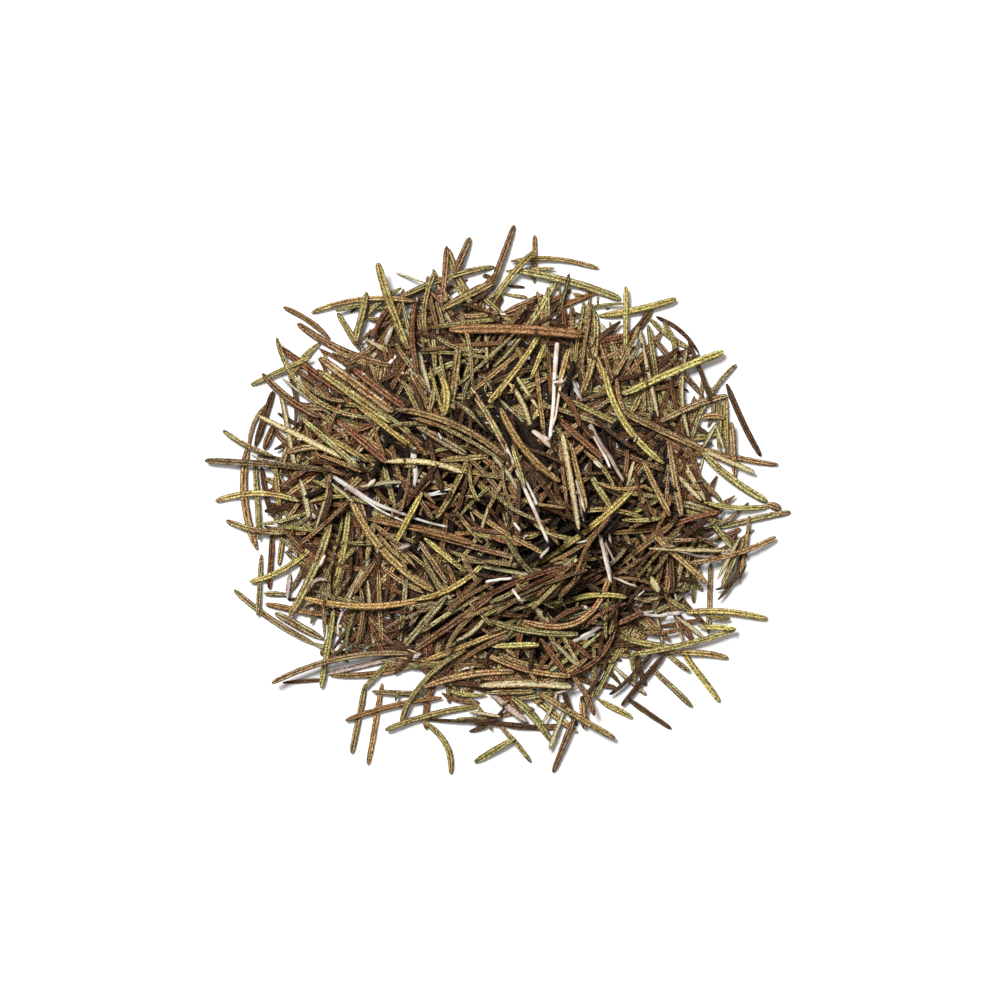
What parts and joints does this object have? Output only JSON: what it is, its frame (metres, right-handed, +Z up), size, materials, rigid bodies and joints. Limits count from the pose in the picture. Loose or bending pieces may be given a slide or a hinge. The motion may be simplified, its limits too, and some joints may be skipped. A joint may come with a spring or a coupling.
{
  "type": "dried rosemary leaf heap",
  "caption": "Loose round heap of dried, rolled rosemary leaves with a few pale stem splinters, lying on a flat surface.",
  "frame": {"origin": "middle of the heap's footprint, on the surface that it lies on", "axes": "+Z up, away from that surface; +Y towards the top of the picture, +X towards its right"},
  "size_m": [0.094, 0.0882, 0.0087],
  "materials": {
    "dried_leaf_green": "matt, dry and finely pebbled",
    "dried_leaf_brown": "matt, dry and finely pebbled",
    "dried_leaf_dark": "matt, dry and finely pebbled",
    "dried_leaf_pale": "matt, dry and finely pebbled",
    "dried_stem": "matt, dry and fibrous"
  },
  "bodies": {
    "root": {"brown_leaf_01": "dried_leaf_brown", "dark_leaf_01": "dried_leaf_dark", "gold_leaf_01": "dried_leaf_brown", "gold_leaf_02": "dried_leaf_brown", "gold_leaf_03": "dried_leaf_brown", "gold_leaf_04": "dried_leaf_brown", "gold_leaf_05": "dried_leaf_brown", "gold_leaf_06": "dried_leaf_brown", "leaf_clump_01": "dried_leaf_green", "leaf_clump_02": "dried_leaf_green", "leaf_clump_03": "dried_leaf_pale", "leaf_clump_04": "dried_leaf_green", "leaf_clump_05": "dried_leaf_green", "leaf_clump_06": "dried_leaf_green", "leaf_clump_07": "dried_leaf_green", "leaf_clump_08": "dried_leaf_green", "leaf_clump_09": "dried_leaf_green", "leaf_clump_10": "dried_leaf_dark", "leaf_clump_11": "dried_leaf_green", "leaf_clump_12": "dried_leaf_green", "leaf_clump_13": "dried_leaf_green", "leaf_clump_14": "dried_stem", "leaf_clump_15": "dried_leaf_green", "leaf_clump_16": "dried_leaf_brown", "lime_leaf_01": "dried_leaf_green", "lime_leaf_02": "dried_leaf_green", "lime_leaf_03": "dried_leaf_green", "lime_leaf_04": "dried_leaf_green", "olive_leaf_01": "dried_leaf_green", "olive_leaf_02": "dried_leaf_green", "olive_leaf_03": "dried_leaf_green", "orange_leaf_01": "dried_leaf_brown", "russet_leaf_01": "dried_leaf_dark", "russet_leaf_02": "dried_leaf_dark", "stem_splinter_01": "dried_stem", "stem_splinter_02": "dried_stem", "stem_splinter_03": "dried_stem", "stem_splinter_04": "dried_stem", "stem_splinter_05": "dried_stem", "stem_splinter_06": "dried_stem", "stem_splinter_07": "dried_stem", "stem_splinter_08": "dried_stem", "stem_splinter_09": "dried_stem", "stem_splinter_10": "dried_stem", "stem_splinter_11": "dried_stem"}
  },
  "joints": []
}
